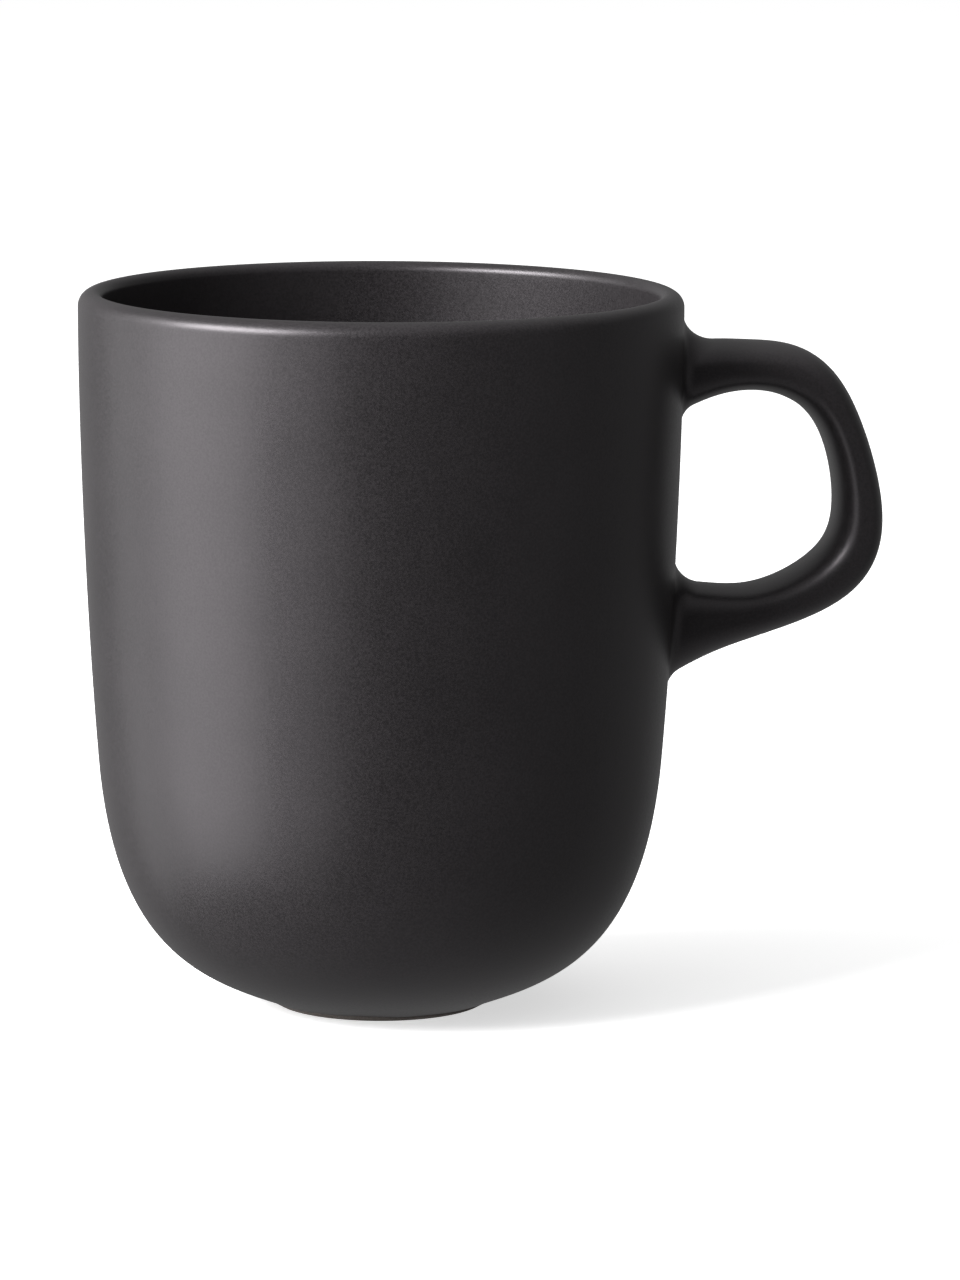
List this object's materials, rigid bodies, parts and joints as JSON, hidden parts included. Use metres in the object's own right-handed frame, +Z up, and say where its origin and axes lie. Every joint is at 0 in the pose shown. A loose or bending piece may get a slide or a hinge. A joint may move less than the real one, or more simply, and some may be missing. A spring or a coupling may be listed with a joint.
{
  "type": "ceramic mug",
  "caption": "Tall straight-sided stoneware mug with a rounded bottom, a low foot ring and an ear-shaped strap handle, in matte charcoal glaze.",
  "frame": {"origin": "centre of the foot ring, on the plane that the mug stands on", "axes": "+Z up along the cup's own axis, +X towards the handle, +Y to the left of the handle as seen from the cup"},
  "size_m": [0.1163, 0.0868, 0.1036],
  "materials": {
    "clay": "matte",
    "glaze": "satin"
  },
  "bodies": {
    "root": {"cup_body": "clay", "handle": "clay", "upper_handle_joint": "clay", "lower_handle_joint": "clay", "inner_glaze": "glaze", "outer_glaze": "glaze", "handle_glaze": "glaze", "base_glaze": "glaze"}
  },
  "joints": []
}
